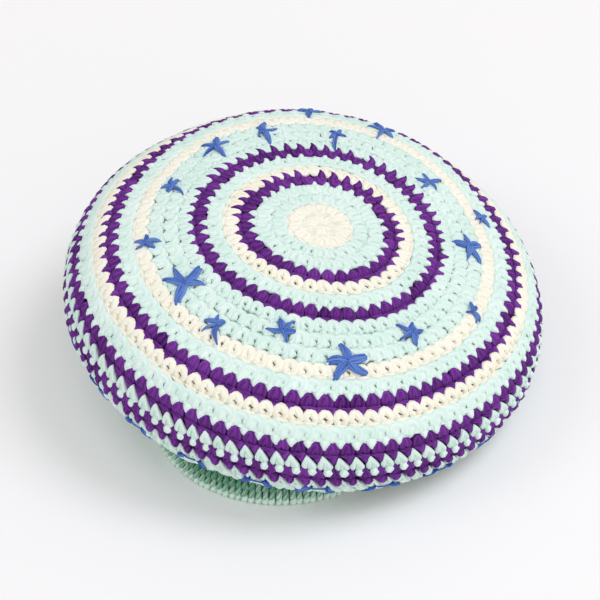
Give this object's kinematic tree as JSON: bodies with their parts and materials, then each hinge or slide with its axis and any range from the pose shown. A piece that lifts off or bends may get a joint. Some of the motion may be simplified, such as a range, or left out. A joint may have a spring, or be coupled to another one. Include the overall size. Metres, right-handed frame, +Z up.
{
  "type": "crocheted beret",
  "caption": "Soft crocheted beret with a puffed round crown in striped rounds, embroidered stars and a ribbed headband, lying crown up.",
  "frame": {"origin": "middle of the hat's bounding box, at the level of the floor that the headband stands on", "axes": "+Z up out of the floor, -Y to the front where the headband shows, +X to the right, the side to which the crown leans"},
  "size_m": [0.2786, 0.2812, 0.1086],
  "materials": {
    "crown_yarn": "matte crocheted yarn",
    "headband_yarn": "matte crocheted yarn"
  },
  "bodies": {
    "root": {"crown": "crown_yarn", "headband": "headband_yarn"}
  },
  "joints": []
}
